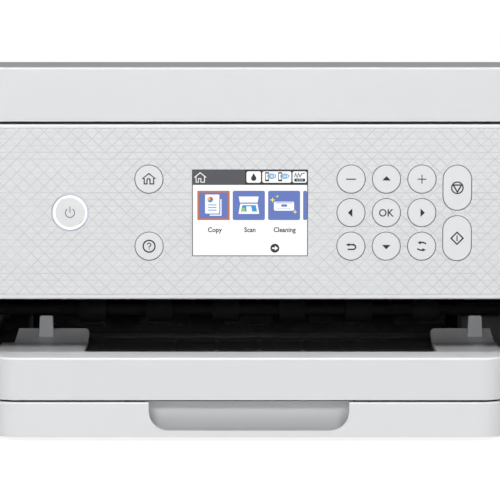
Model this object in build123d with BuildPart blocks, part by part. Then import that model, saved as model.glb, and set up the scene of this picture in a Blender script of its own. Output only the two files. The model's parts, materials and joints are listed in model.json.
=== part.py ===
"""Compact all-in-one inkjet printer, modelled as separate pieces in millimetres.

+X is the user's right, +Y the back, +Z up.  The origin is on the table, under the middle of the body.
"""

import math
import os

from build123d import *

os.makedirs("parts", exist_ok=True)

# ---------------------------------------------------------------- driving dimensions
HALF_W = 187.5  # half the body's width
FRONT_Y, BACK_Y = -173.5, 173.5
FACE_Y = -163.0  # plane of the lid's and the panel's front faces
WALL = 2.5
CORNER = 12.0  # vertical corner radius of the casing
FOOT_H = 2.0

BODY_TOP, REAR_TOP = 128.0, 124.0  # side covers and rear wall; the rear clears the scanner unit as it lifts
DECK_Z = (118.0, 120.5)
SCANNER_Z = (129.0, 165.5)
LID_Z = (166.0, 187.0)
SKIRT_Z = 160.0  # lowest edge of the lid's front skirt
PANEL_Z = (71.0, 158.6)
PANEL_BACK_Y = -150.0
SKIN_T = 2.0  # thickness of the panel's faceplate

TRAY_HALF_W, TRAY_CORNER = 130.0, 14.0
CASSETTE_Z = (2.7, 20.3)
TRAY_Z = (21.4, 42.6)
PATH_X = 5.5  # the paper path's centre line
OPENING_HALF_W = 150.0

BODY_HINGE_X = 163.0
SCANNER_AXIS = (168.0, 131.0)  # y and z of the scanner unit's hinge
LID_AXIS = (158.0, 168.5)  # y and z of the lid's hinge
PANEL_AXIS = (FACE_Y + 5.0, PANEL_Z[1] - 5.0)  # y and z of the panel's tilt axis
PANEL_HINGE_X = 142.0
PIN_R = 2.5
HINGE_GAP = 0.06  # radial running clearance of pins and shafts

KEY_R = 6.9
KEY_GAP = 0.3  # clearance around each key
KEY_X = (51.0, 68.7, 86.4, 104.1)
KEY_Z = (97.6, 114.4, 131.2)
KEY_TRAVEL = 0.8
POWER_XZ = (-89.5, 114.5)
POWER_R = 7.4
RING_W = 1.4
SIDE_KEY_X = -50.0
SCREEN_CENTRE = (0.5, 114.3)
SCREEN_SIZE = (57.7, 43.2)

SHAFT_YZ, SHAFT_R = (46.0, 75.0), 4.0
EXIT_YZ, EXIT_SHAFT_R, EXIT_R = (-58.0, 55.0), 3.0, 6.0
STAR_R, STAR_GAP = 4.0, 0.4
FEED_YZ, FEED_R = (28.0, 51.0), 7.0
PULLEY_Y, PULLEY_Z, PULLEY_R = (49.5, 53.5), 100.0, 5.0
PULLEY_X = 160.0
RACK_Y = -20.0
GEAR_MODULE, FEED_TEETH, PINION_TEETH = 0.8, 36, 12
FEED_MOTOR_YZ = (44.63, 41.4)
GEAR_X = (-176.0, -172.0)
CARRIAGE_HALF_W, HOME_X = 36.0, 130.0


# ---------------------------------------------------------------- shared helpers
def block(x, y, z, mode=Mode.ADD):
    """A box between two values on each axis."""
    with Locations(((x[0] + x[1]) / 2, (y[0] + y[1]) / 2, (z[0] + z[1]) / 2)):
        Box(x[1] - x[0], y[1] - y[0], z[1] - z[0], mode=mode)


def slab(half_w, y, z, radius, mode=Mode.ADD):
    """A plate with rounded corners in plan."""
    with BuildSketch(Plane.XY.offset(z[0])) as plan:
        with Locations((0, (y[0] + y[1]) / 2)):
            RectangleRounded(2 * half_w, y[1] - y[0], radius)
    extrude(plan.sketch, amount=z[1] - z[0], mode=mode)


def rod_x(x, centre, radius, mode=Mode.ADD):
    """A cylinder along X, centred on (y, z)."""
    with Locations(((x[0] + x[1]) / 2, centre[0], centre[1])):
        Cylinder(radius, x[1] - x[0], rotation=(0, 90, 0), mode=mode)


def rod_y(y, centre, radius, mode=Mode.ADD):
    """A cylinder along Y, centred on (x, z)."""
    with Locations((centre[0], (y[0] + y[1]) / 2, centre[1])):
        Cylinder(radius, y[1] - y[0], rotation=(90, 0, 0), mode=mode)


def front_prism(sketch, y, mode=Mode.ADD):
    """Extrudes a sketch drawn in X and Z between two values of Y."""
    plane = Plane(origin=(0, y[0], 0), x_dir=(1, 0, 0), z_dir=(0, -1, 0))
    extrude(plane * sketch, amount=-(y[1] - y[0]), mode=mode)


def rounded_face(centre, size, radius):
    """A rounded rectangle in X and Z for front_prism."""
    with BuildSketch() as face:
        with Locations(centre):
            RectangleRounded(size[0], size[1], radius)
    return face.sketch


def save(part, name):
    """Labels a finished piece and writes its STEP file."""
    part.label = name
    export_step(part, f"parts/{name}.step")


# ---------------------------------------------------------------- casing
with BuildPart() as base_pan:
    slab(HALF_W - WALL - 0.3, (-158, BACK_Y - WALL - 0.3), (2, 4), CORNER - WALL)
    for rib_y in (-60, 60, 140):
        block((130, 182), (rib_y, rib_y + 2), (4, 12))
        block((-182, -130), (rib_y, rib_y + 2), (4, 12))
    for rail_x in (-129, 127):  # rails that guide the cassette
        block((rail_x, rail_x + 2), (-150, 130), (4, 20))
save(base_pan.part, "base_pan")

FOOT_XY = ((-165, -135), (165, -135), (-165, 150), (165, 150))
with BuildPart() as feet:
    for x, y in FOOT_XY:
        with BuildSketch(Plane.XY) as pad:
            with Locations((x, y)):
                Circle(8)
        extrude(pad.sketch, amount=FOOT_H)
    chamfer(feet.edges().group_by(Axis.Z)[0], 0.6)
save(feet.part, "feet")


def side_cover(side):
    """One side casing: its outer wall, front column, lower front cheek and rear return."""
    lower = TRAY_Z[1] + 1.0
    inner = OPENING_HALF_W
    with BuildPart() as cover:
        slab(HALF_W, (FACE_Y, BACK_Y), (2, BODY_TOP), CORNER)
        slab(HALF_W - WALL, (FACE_Y + WALL, BACK_Y - WALL), (2, BODY_TOP), CORNER - WALL, Mode.SUBTRACT)
        block((-TRAY_HALF_W - 1.2, TRAY_HALF_W + 1.2), (-200, FACE_Y + 20), (0, lower), Mode.SUBTRACT)
        block((-inner, inner), (-200, FACE_Y + 20), (lower, BODY_TOP), Mode.SUBTRACT)
        # above the tray level the front steps back, behind the control panel
        block((-200, 200), (-200, PANEL_BACK_Y + 1.5), (PANEL_Z[0] - 0.6, 200), Mode.SUBTRACT)
        block((-HALF_W + WALL / 2, HALF_W - WALL / 2), (PANEL_BACK_Y + 1.5, PANEL_BACK_Y + 4), (68, BODY_TOP))
        block((-168, 168), (-200, -130), (PANEL_Z[0] - 0.6, 200), Mode.SUBTRACT)
        block((-HALF_W + 1, HALF_W - 1), (FACE_Y + WALL, PANEL_BACK_Y + 4), (66, PANEL_Z[0] - 0.6))
        block((-inner, inner), (-200, -130), (60, 80), Mode.SUBTRACT)
        block((-168, 168), (160, 200), (0, 200), Mode.SUBTRACT)
        block((-200, 200), (158, 200), (REAR_TOP, 200), Mode.SUBTRACT)
        slab(HALF_W, (FACE_Y, BACK_Y), (0, 200), CORNER, Mode.INTERSECT)
        keep = (0, 300) if side > 0 else (-300, 0)
        block(keep, (-300, 300), (-10, 300), Mode.INTERSECT)
    return cover.part


save(side_cover(-1), "side_cover_left")
save(side_cover(1), "side_cover_right")

INLET_CENTRE, USB_CENTRE = (-145.0, 22.0), (140.0, 52.0)
REAR_BAY_X, REAR_BAY_Z = 122.0, (30.0, 108.0)
with BuildPart() as rear_panel:
    block((-167.6, 167.6), (BACK_Y - WALL, BACK_Y), (2, REAR_TOP - 0.5))
    block((-REAR_BAY_X, REAR_BAY_X), (160, 180), REAR_BAY_Z, Mode.SUBTRACT)
    block((INLET_CENTRE[0] - 12.5, INLET_CENTRE[0] + 12.5), (160, 180), (12, 32), Mode.SUBTRACT)
    block((USB_CENTRE[0] - 8, USB_CENTRE[0] + 8), (160, 180), (44, 60), Mode.SUBTRACT)
    for slot in range(8):  # vent slots beside the bay
        block((132, 160), (160, 180), (74 + 5 * slot, 76.5 + 5 * slot), Mode.SUBTRACT)
save(rear_panel.part, "rear_panel")

with BuildPart() as rear_duplex_cover:
    bay_x, bay_z = REAR_BAY_X - 0.5, (REAR_BAY_Z[0] + 0.5, REAR_BAY_Z[1] - 0.5)
    block((-bay_x, bay_x), (BACK_Y - 2.4, BACK_Y), bay_z)
    for rib in range(11):  # curved ribs that turn the paper
        rib_x = PATH_X - 105 + 21 * rib
        with BuildSketch(Plane.YZ.offset(rib_x)) as web:
            with BuildLine():
                Line((171.5, 34), (171.5, 104))
                Line((171.5, 104), (150, 104))
                ThreePointArc((150, 104), (163, 69), (150, 34))
                Line((150, 34), (171.5, 34))
            make_face()
        extrude(web.sketch, amount=2)
    block((-108, 118), (166.5, 171.5), (66, 70))
    block((-30, 30), (BACK_Y - 1.2, BACK_Y), (92, 100), Mode.SUBTRACT)  # finger ledge
save(rear_duplex_cover.part, "rear_duplex_cover")

with BuildPart() as inner_deck:
    slab(HALF_W - WALL - 0.4, (PANEL_BACK_Y + 5, BACK_Y - WALL - 0.4), DECK_Z, CORNER - WALL)
    block((-152, 167), (-62, 40), (100, 140), Mode.SUBTRACT)  # carriage access
    for x in (-BODY_HINGE_X, BODY_HINGE_X):  # ears with the pins that the scanner unit lifts on
        with BuildSketch(Plane.YZ.offset(x - 4)) as ear:
            with Locations(SCANNER_AXIS):
                Circle(4.6)
            with Locations((164.6, 125.5)):
                Rectangle(8, 11)
        extrude(ear.sketch, amount=8)
        rod_x((x - 11.5, x + 11.5), SCANNER_AXIS, PIN_R)
    for x in (-160, 140):  # rubber-pad seats under the scanner unit
        block((x, x + 20), (-130, -110), (DECK_Z[1], SCANNER_Z[0] - 0.3))
save(inner_deck.part, "inner_deck")

with BuildPart() as casing_screws:
    for x in (-172, 172):
        for y in (-120, 0, 120):
            with Locations((x, y, DECK_Z[1] + 1.0)):
                Cylinder(3.2, 2.0)
                Cylinder(1.0, 2.4, mode=Mode.SUBTRACT)
save(casing_screws.part, "casing_screws")

# ---------------------------------------------------------------- frame and paper path
with BuildPart() as exit_housing:  # black chamber behind the opening
    block((-147, 147), (-128, 20), (21, 23))
    for x in (-149, 147):
        block((x, x + 2), (-158, -72), (21, 70))
        block((x, x + 2), (-147, -72), (70, 116))
        block((x, x + 2), (-72, 20), (21, 50))
    block((-149, 149), (-147, -143), (72, 116))
    for rib in range(9):
        rib_x = PATH_X - 88 + 22 * rib
        block((rib_x - 0.8, rib_x + 0.8), (-143, -72), (72, 80))
    block((-147, 147), (-143, -72), (80, 82))
    for x in (-PANEL_HINGE_X, PANEL_HINGE_X):  # arms and pins that the control panel tilts on
        with BuildSketch(Plane.YZ.offset(x - 5)) as arm:
            with Locations(PANEL_AXIS):
                Circle(2.8)
            with Locations((-155.4, (110 + PANEL_AXIS[1]) / 2)):
                Rectangle(4.4, PANEL_AXIS[1] - 110)
            with Locations((-151.0, 113)):
                Rectangle(13.2, 6)
        extrude(arm.sketch, amount=10)
        rod_x((x - 12, x + 12), PANEL_AXIS, PIN_R / 2)
save(exit_housing.part, "exit_housing")

with BuildPart() as carriage_frame:  # folded steel
    block((-170, 170), (56, 58), (30, 116))
    block((-170, 170), (50, 56), (114, 116))
    for x in (-170, 168):
        block((x, x + 2), (-70, 56), (44, 116))
        block((x, x + 2), (30, 56), (26, 44))
        rod_x((x - 1, x + 3), FEED_MOTOR_YZ, 2, Mode.SUBTRACT)
        rod_x((x - 1, x + 3), SHAFT_YZ, SHAFT_R, Mode.SUBTRACT)
        rod_x((x - 1, x + 3), EXIT_YZ, EXIT_SHAFT_R + HINGE_GAP, Mode.SUBTRACT)
        rod_x((x - 1, x + 3), FEED_YZ, 3 + HINGE_GAP, Mode.SUBTRACT)
        star_z = EXIT_YZ[1] + EXIT_R + STAR_GAP + STAR_R
        rod_x((x - 1, x + 3), (EXIT_YZ[0], star_z), 1 + HINGE_GAP, Mode.SUBTRACT)
    rod_y((50, 60), (PULLEY_X, PULLEY_Z), 2 + HINGE_GAP, Mode.SUBTRACT)
    rod_y((47, 56), (-PULLEY_X, PULLEY_Z), 2)  # idler stud
    for x in (-100, -50, 0, 50, 100):
        block((x - 15, x + 15), (55, 59), (34, 44), Mode.SUBTRACT)
save(carriage_frame.part, "carriage_frame")

with BuildPart() as guide_shaft:
    rod_x((-172, 172), SHAFT_YZ, SHAFT_R)
    chamfer(guide_shaft.edges().filter_by(GeomType.CIRCLE), 0.5)
save(guide_shaft.part, "guide_shaft")

with BuildPart() as platen:
    block((-120, 116), (-46, 18), (54, 56.5))
    for rib in range(13):
        rib_x = PATH_X - 108 + 18 * rib
        block((rib_x - 0.7, rib_x + 0.7), (-44, 16), (56.5, 58.5))
    for x in (-120, 114):
        block((x, x + 2), (-46, 18), (23, 54))
save(platen.part, "platen")


def spur_gear(teeth, module):
    """Outline of a simple spur gear with straight-sided teeth, as a sketch at the origin."""
    pitch_r = teeth * module / 2
    tip, root = pitch_r + 0.85 * module, pitch_r - 1.15 * module
    with BuildSketch() as gear:
        Circle(root)
        with PolarLocations(0, teeth):
            with BuildLine():
                Polyline(
                    (root - 0.4, -0.85 * module),
                    (tip, -0.32 * module),
                    (tip, 0.32 * module),
                    (root - 0.4, 0.85 * module),
                    close=True,
                )
            make_face()
    return gear.sketch


def gear_x(x, centre, teeth, turn):
    """Adds a spur gear along X, centred on (y, z) and turned by some degrees."""
    outline = spur_gear(teeth, GEAR_MODULE)
    plane = Plane(origin=(x[0], centre[0], centre[1]), x_dir=(0, 1, 0), z_dir=(1, 0, 0))
    extrude(plane * Rot(0, 0, turn) * outline, amount=x[1] - x[0])


# the pinion's line of centres decides how far each gear is turned to mesh
MESH_ANGLE = math.degrees(math.atan2(FEED_MOTOR_YZ[1] - FEED_YZ[1], FEED_MOTOR_YZ[0] - FEED_YZ[0]))
with BuildPart() as feed_roller:  # rubber-faced roller with its moulded drive gear
    rod_x((-176.5, 173), FEED_YZ, 3)
    rod_x((-112 + PATH_X, 112 + PATH_X), FEED_YZ, FEED_R)
    gear_x(GEAR_X, FEED_YZ, FEED_TEETH, MESH_ANGLE)
save(feed_roller.part, "feed_roller")

with BuildPart() as feed_pinion:
    gear_x(GEAR_X, FEED_MOTOR_YZ, PINION_TEETH, MESH_ANGLE + 180 + 180 / PINION_TEETH)
    rod_x((GEAR_X[0] - 1, GEAR_X[1] + 1), FEED_MOTOR_YZ, 1 + HINGE_GAP, Mode.SUBTRACT)
save(feed_pinion.part, "feed_pinion")

with BuildPart() as feed_motor:
    rod_x((-168, -142), FEED_MOTOR_YZ, 11)
    rod_x((-142, -139), FEED_MOTOR_YZ, 4)
    rod_x((-176.5, -168), FEED_MOTOR_YZ, 1)
save(feed_motor.part, "feed_motor")

with BuildPart() as exit_roller:
    rod_x((-173, 173), EXIT_YZ, EXIT_SHAFT_R)
    for wheel in range(6):
        wheel_x = PATH_X - 90 + 36 * wheel
        rod_x((wheel_x - 7, wheel_x + 7), EXIT_YZ, EXIT_R)
save(exit_roller.part, "exit_roller")

STAR_YZ = (EXIT_YZ[0], EXIT_YZ[1] + EXIT_R + STAR_GAP + STAR_R)
with BuildPart() as star_wheels:
    rod_x((-172, 172), STAR_YZ, 1)
    for wheel in range(6):
        wheel_x = PATH_X - 90 + 36 * wheel
        rod_x((wheel_x - 3, wheel_x + 3), STAR_YZ, 2.2)
        with BuildSketch() as star:
            Circle(STAR_R - 0.9)
            with PolarLocations(STAR_R - 0.95, 16):
                Triangle(a=1.1, b=1.0, c=1.0, rotation=-90)
        plane = Plane(origin=(wheel_x - 0.3, *STAR_YZ), x_dir=(0, 1, 0), z_dir=(1, 0, 0))
        extrude(plane * star.sketch, amount=0.6)
save(star_wheels.part, "star_wheels")

# ---------------------------------------------------------------- carriage
BAY_Y, BAY_FLOOR, BAY_TOP = (-32.0, 34.0), 66.0, 102.0
INK_WIDTHS = {"black": 20.0, "cyan": 14.0, "magenta": 14.0, "yellow": 14.0}
with BuildPart() as carriage:
    left, right = HOME_X - CARRIAGE_HALF_W, HOME_X + CARRIAGE_HALF_W
    block((left, right), (-36, 38), (62, BAY_TOP))
    bay_x = right - 2
    for width in INK_WIDTHS.values():
        block((bay_x - width, bay_x), BAY_Y, (BAY_FLOOR - 1, 120), Mode.SUBTRACT)
        bay_x -= width + 1.5
    block((left, right), (38, 52.3), (68, 82))  # bearing block on the guide shaft
    rod_x((left - 1, right + 1), SHAFT_YZ, SHAFT_R + HINGE_GAP, Mode.SUBTRACT)
    block((HOME_X - 14, HOME_X + 14), (38, 49.2), (88, 98))  # belt clamp
    block((HOME_X - 16, HOME_X + 16), (-20, 12), (60, 62))  # print head's nozzle face
save(carriage.part, "carriage")


def ink_cartridge(x_low, width):
    """A cartridge in its bay, with a latch tab at the front and a ridged grip on top."""
    fit = 0.25
    x = (x_low + fit, x_low + width - fit)
    with BuildPart() as cartridge:
        block(x, (BAY_Y[0] + 2.2, BAY_Y[1] - fit), (BAY_FLOOR, 104))
        fillet(cartridge.edges().filter_by(Axis.Z), 1.0)
        block((x[0] + 2, x[1] - 2), (BAY_Y[0] + 0.4, BAY_Y[0] + 1.6), (84, 106))  # latch tab
        block((x[0] + 2, x[1] - 2), (BAY_Y[0] + 0.4, BAY_Y[0] + 2.4), (82, 85))
        for ridge in range(3):
            ridge_y = 8 + 5 * ridge
            block((x[0] + 2, x[1] - 2), (ridge_y, ridge_y + 1.4), (104, 105))
    return cartridge.part


bay_x = HOME_X + CARRIAGE_HALF_W - 2
for colour, width in INK_WIDTHS.items():
    save(ink_cartridge(bay_x - width, width), f"ink_{colour}")
    bay_x -= width + 1.5


def pulley(x):
    """A flanged belt pulley turning about Y."""
    with BuildPart() as wheel:
        rod_y((49.2, 53.8), (x, PULLEY_Z), PULLEY_R)
        for flange_y in (48.6, 53.8):
            rod_y((flange_y, flange_y + 0.6), (x, PULLEY_Z), PULLEY_R + 2)
        rod_y((40, 60), (x, PULLEY_Z), 2 + HINGE_GAP, Mode.SUBTRACT)
    return wheel.part


save(pulley(PULLEY_X), "drive_pulley")
save(pulley(-PULLEY_X), "idler_pulley")

with BuildPart() as timing_belt:
    inner_r = PULLEY_R + 0.1
    with BuildSketch() as loop:
        SlotCenterToCenter(2 * PULLEY_X, 2 * inner_r + 2.0)
        SlotCenterToCenter(2 * PULLEY_X, 2 * inner_r, mode=Mode.SUBTRACT)
    front_prism(Pos(0, PULLEY_Z) * loop.sketch, (50, 53.2))
save(timing_belt.part, "timing_belt")

with BuildPart() as carriage_motor:
    rod_y((58, 84), (PULLEY_X, PULLEY_Z), 13)
    rod_y((84, 87), (PULLEY_X, PULLEY_Z), 4)
    rod_y((48.6, 58), (PULLEY_X, PULLEY_Z), 2)
save(carriage_motor.part, "carriage_motor")

with BuildPart() as cap_station:  # cap, wiper and pump under the parked head
    block((116, 146), (-30, 20), (24, 56))
    block((120, 142), (-22, 14), (56, 59), Mode.ADD)
    block((122, 140), (-20, 12), (57, 60), Mode.SUBTRACT)
    block((117, 145), (17, 18.5), (56, 61))
save(cap_station.part, "cap_station")

with BuildPart() as main_board:  # upright board behind the rear wall, with its USB socket
    block((125, 167), (149.4, 151), (30, 112))
    for x, z, w, h in ((130, 62, 20, 20), (152, 66, 10, 14), (131, 90, 14, 14), (150, 92, 12, 10)):
        block((x, x + w), (147, 149.4), (z, z + h))
    x, z = USB_CENTRE
    block((x - 7.5, x + 7.5), (151, BACK_Y - 0.2), (z - 7, z + 7))
    block((x - 4.6, x + 4.6), (160, 180), (z - 4.6, z + 4.6), Mode.SUBTRACT)
    block((x - 2.6, x + 2.6), (160, 171), (z - 1.6, z + 1.6))
save(main_board.part, "main_board")

with BuildPart() as power_supply:  # sealed module with its inlet at the back
    block((-181, -133), (70, 157), (12.4, 60))
    for slot in range(9):
        block((-182, -178), (80 + 8 * slot, 84 + 8 * slot), (24, 50), Mode.SUBTRACT)
    x, z = INLET_CENTRE
    block((x - 12, x + 12), (157, BACK_Y), (z - 9, z + 9))
    socket = rounded_face((x, z), (15, 9), 3.5)
    front_prism(socket, (161, 180), Mode.SUBTRACT)
    for pin_x in (x - 4.3, x + 4.3):
        rod_y((160, 171), (pin_x, z), 1.15)
save(power_supply.part, "power_supply")

# ---------------------------------------------------------------- scanner unit
GLASS_X, GLASS_Y = (-153.0, 153.0), (-108.0, 116.0)
STEP_Y, STEP_Z = 150.0, 159.5  # the housing's top steps down at the lid's hinge
HINGE_X = 100.0  # lid hinge
with BuildPart() as scanner_housing:
    slab(HALF_W, (PANEL_BACK_Y + 3, BACK_Y), SCANNER_Z, CORNER)
    block((-200, 200), (PANEL_BACK_Y, PANEL_BACK_Y + 3), (100, 200), Mode.SUBTRACT)
    top_edges = scanner_housing.edges().group_by(Axis.Z)[-1]
    fillet(top_edges, 1.0)
    inside_y = (PANEL_BACK_Y + 3 + WALL, STEP_Y - WALL)
    slab(HALF_W - WALL, inside_y, (SCANNER_Z[0] + 2, 161), CORNER - WALL, Mode.SUBTRACT)
    block((-200, 200), (STEP_Y, 200), (STEP_Z, 200), Mode.SUBTRACT)
    block((-178, 178), (STEP_Y, BACK_Y - WALL), (SCANNER_Z[0] + 2, STEP_Z - 2), Mode.SUBTRACT)
    block((GLASS_X[0] + 4, GLASS_X[1] - 4), (GLASS_Y[0] + 3, GLASS_Y[1] - 3), (150, 200), Mode.SUBTRACT)
    seat_x, seat_y = (GLASS_X[0] - 0.2, GLASS_X[1] + 0.2), (GLASS_Y[0] - 0.2, GLASS_Y[1] + 0.2)
    block(seat_x, seat_y, (163, 200), Mode.SUBTRACT)
    block((-165, 165), (-4, 4), (SCANNER_Z[0] + 2, 139))  # rail for the scan head
    for x in (-BODY_HINGE_X, BODY_HINGE_X):
        block((x - 6, x + 6), (153, 180), (120, 138), Mode.SUBTRACT)
        for lug_x in (x - 12, x + 7):
            block((lug_x, lug_x + 5), (160, BACK_Y - WALL), (SCANNER_Z[0] + 2, 140))
            rod_x((lug_x - 1, lug_x + 6), SCANNER_AXIS, PIN_R + HINGE_GAP, Mode.SUBTRACT)
    for x in (-HINGE_X, HINGE_X):  # ears and pins that carry the document cover
        with BuildSketch(Plane.YZ.offset(x - 5)) as ear:
            with Locations(LID_AXIS):
                Circle(3.9)
            with Locations(((STEP_Y + 154.5) / 2, (STEP_Z + 171) / 2)):
                Rectangle(155.5 - STEP_Y + 1, 173 - STEP_Z)
        extrude(ear.sketch, amount=10)
        rod_x((x - 11, x + 11), LID_AXIS, PIN_R)
save(scanner_housing.part, "scanner_housing")

with BuildPart() as scanner_glass:
    block(GLASS_X, GLASS_Y, (163.02, SCANNER_Z[1]))
save(scanner_glass.part, "scanner_glass")

SCAN_HOME_X = -136.0
with BuildPart() as scan_head:
    block((SCAN_HOME_X - 11, SCAN_HOME_X + 11), (-104, 112), (146, 160))
    block((SCAN_HOME_X - 2, SCAN_HOME_X + 2), (-102, 110), (160, 160.6))
    block((SCAN_HOME_X - 9, SCAN_HOME_X + 9), (-9, 9), (134, 146))
    block((SCAN_HOME_X - 20, SCAN_HOME_X + 20), (-4.3, 4.3), (120, 139.4), Mode.SUBTRACT)
save(scan_head.part, "scan_head")

# ---------------------------------------------------------------- document cover
LID_BACK_Y = 165.0
with BuildPart() as document_cover:
    slab(HALF_W, (FACE_Y, LID_BACK_Y), LID_Z, CORNER)
    fillet(document_cover.edges().group_by(Axis.Z)[-1], 1.2)
    with BuildSketch(Plane.XY.offset(SKIRT_Z)) as skirt:
        with Locations((0, FACE_Y + 30)):
            RectangleRounded(2 * HALF_W, 60, CORNER)
    extrude(skirt.sketch, amount=LID_Z[0] - SKIRT_Z)
    block((-200, 200), (FACE_Y + 11, 0), (SKIRT_Z - 1, LID_Z[0]), Mode.SUBTRACT)
    slab(HALF_W - WALL, (FACE_Y + WALL, LID_BACK_Y - WALL), (SKIRT_Z - 1, 184), CORNER - WALL, Mode.SUBTRACT)
    for x in (-150, -90, -30, 30, 90, 150):  # stiffening ribs under the top
        block((x - 0.8, x + 0.8), (FACE_Y + WALL, 140), (168.6, 184))
    for y in (-120, 0, 125):
        block((-HALF_W + WALL, HALF_W - WALL), (y - 0.8, y + 0.8), (168.6, 184))
    for x in (-HINGE_X, HINGE_X):
        for boss_x in (x - 11.5, x + 5.5):
            with BuildSketch(Plane.YZ.offset(boss_x)) as boss:
                with Locations(LID_AXIS):
                    Circle(PIN_R + 1.8)
                with Locations((LID_AXIS[0], (LID_AXIS[1] + 184) / 2)):
                    Rectangle(2 * PIN_R + 3.6, 184 - LID_AXIS[1])
                with Locations(LID_AXIS):
                    Circle(PIN_R + HINGE_GAP, mode=Mode.SUBTRACT)
            extrude(boss.sketch, amount=6)
save(document_cover.part, "document_cover")

with BuildPart() as document_mat:
    slab(151, (GLASS_Y[0] + 1, GLASS_Y[1] - 1), (165.9, 168.6), 4)
save(document_mat.part, "document_mat")

# ---------------------------------------------------------------- control panel
RIM_TOP, RIM_BOTTOM = 2.0, 2.2
PLATE_Z = (PANEL_Z[0] + RIM_BOTTOM, PANEL_Z[1] - RIM_TOP)
PLATE_HALF_W = HALF_W - 3.0
KEY_BAY_X, KEY_BAY_Z = (-103.0, 118.0), (82.0, 146.0)


def round_key(x, z, radius=KEY_R):
    """Outline of a round key."""
    with BuildSketch() as outline:
        with Locations((x, z)):
            Circle(radius)
    return outline.sketch


def pill_key(x, z, grow=0.0):
    """Outline of a tall key with round ends."""
    with BuildSketch() as outline:
        with Locations((x, z)):
            SlotOverall(22.3 + 2 * grow, 14.0 + 2 * grow, rotation=90)
    return outline.sketch


ROUND_KEYS = {
    "key_home": (SIDE_KEY_X, KEY_Z[2]),
    "key_help": (SIDE_KEY_X, KEY_Z[0]),
    "key_minus": (KEY_X[0], KEY_Z[2]),
    "key_up": (KEY_X[1], KEY_Z[2]),
    "key_plus": (KEY_X[2], KEY_Z[2]),
    "key_left": (KEY_X[0], KEY_Z[1]),
    "key_ok": (KEY_X[1], KEY_Z[1]),
    "key_right": (KEY_X[2], KEY_Z[1]),
    "key_back": (KEY_X[0], KEY_Z[0]),
    "key_down": (KEY_X[1], KEY_Z[0]),
    "key_repeat": (KEY_X[2], KEY_Z[0]),
}
PILL_KEYS = {"key_stop": (KEY_X[3], 126.9), "key_start": (KEY_X[3], 101.6)}

with BuildPart() as panel_housing:
    slab(HALF_W, (FACE_Y, FACE_Y + 60), PANEL_Z, CORNER)
    block((-200, 200), (PANEL_BACK_Y, 0), (0, 200), Mode.SUBTRACT)
    fillet(panel_housing.edges().group_by(Axis.Z)[-1].filter_by(GeomType.LINE).sort_by(Axis.Y)[0], 1.4)
    fillet(panel_housing.edges().group_by(Axis.Z)[0].filter_by(GeomType.LINE).sort_by(Axis.Y)[0], 1.0)
    front_prism(rounded_face((0, sum(PLATE_Z) / 2), (2 * PLATE_HALF_W - 16, PLATE_Z[1] - PLATE_Z[0]), 0.6),
                (FACE_Y - 1, FACE_Y + SKIN_T), Mode.SUBTRACT)
    block((-HALF_W + 6, HALF_W - 6), (FACE_Y + 5, PANEL_BACK_Y + 1), (PANEL_Z[0] + 2.5, 147), Mode.SUBTRACT)
    block(KEY_BAY_X, (FACE_Y, PANEL_BACK_Y), KEY_BAY_Z, Mode.SUBTRACT)
    for x in (-PANEL_HINGE_X, PANEL_HINGE_X):
        block((x - 5.4, x + 5.4), (FACE_Y + 1.9, PANEL_BACK_Y + 1), (140, PANEL_AXIS[1] + 3.8), Mode.SUBTRACT)
        rod_x((x - 13, x + 13), PANEL_AXIS, PIN_R / 2 + HINGE_GAP, Mode.SUBTRACT)
save(panel_housing.part, "panel_housing")

with BuildPart() as panel_faceplate:
    plate_size = (2 * PLATE_HALF_W - 16.4, PLATE_Z[1] - PLATE_Z[0] - 0.2)
    front_prism(rounded_face((0, sum(PLATE_Z) / 2), plate_size, 0.5), (FACE_Y + 0.05, FACE_Y + SKIN_T - 0.02))
    cut = (FACE_Y - 1, FACE_Y + 3)
    for x, z in ROUND_KEYS.values():
        front_prism(round_key(x, z, KEY_R + KEY_GAP), cut, Mode.SUBTRACT)
    for x, z in PILL_KEYS.values():
        front_prism(pill_key(x, z, KEY_GAP), cut, Mode.SUBTRACT)
    front_prism(round_key(*POWER_XZ, POWER_R + RING_W + 0.4), cut, Mode.SUBTRACT)
    window_size = (SCREEN_SIZE[0] + 0.3, SCREEN_SIZE[1] + 0.3)
    front_prism(rounded_face(SCREEN_CENTRE, window_size, 0.4), cut, Mode.SUBTRACT)
save(panel_faceplate.part, "panel_faceplate")

with BuildPart() as display_module:
    front_prism(rounded_face(SCREEN_CENTRE, SCREEN_SIZE, 0.3), (FACE_Y + 0.15, FACE_Y + 3))
    frame_size = (SCREEN_SIZE[0] + 8, SCREEN_SIZE[1] + 8)
    front_prism(rounded_face(SCREEN_CENTRE, frame_size, 1.0), (FACE_Y + 2.1, FACE_Y + 5.5))
save(display_module.part, "display_module")

with BuildPart() as power_light_ring:
    front_prism(round_key(*POWER_XZ, POWER_R + RING_W + 0.2), (FACE_Y - 0.1, FACE_Y + 5.5))
    front_prism(round_key(*POWER_XZ, POWER_R + 0.2), (FACE_Y - 1, FACE_Y + 6), Mode.SUBTRACT)
save(power_light_ring.part, "power_light_ring")

with BuildPart() as panel_board:  # switch board that closes the key bay
    block((KEY_BAY_X[0] + 1, KEY_BAY_X[1] - 1), (-155.4, -153.8), (KEY_BAY_Z[0] + 1, KEY_BAY_Z[1] - 1))
    for x, z in (*ROUND_KEYS.values(), *PILL_KEYS.values(), POWER_XZ):
        block((x - 3, x + 3), (-156.9, -155.4), (z - 3, z + 3))
save(panel_board.part, "panel_board")


def key(outline, flange):
    """A key cap with a retaining flange behind the faceplate and a stem to its switch."""
    with BuildPart() as cap:
        front_prism(outline, (FACE_Y - 0.15, FACE_Y + 2.2))
        fillet(cap.edges().group_by(Axis.Y)[0], 0.25)
        front_prism(flange, (FACE_Y + 2.2, FACE_Y + 3.4))
        centre = outline.bounding_box().center()
        block((centre.X - 1.5, centre.X + 1.5), (FACE_Y + 3.4, -157.8), (centre.Y - 1.5, centre.Y + 1.5))
    return cap.part


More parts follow.
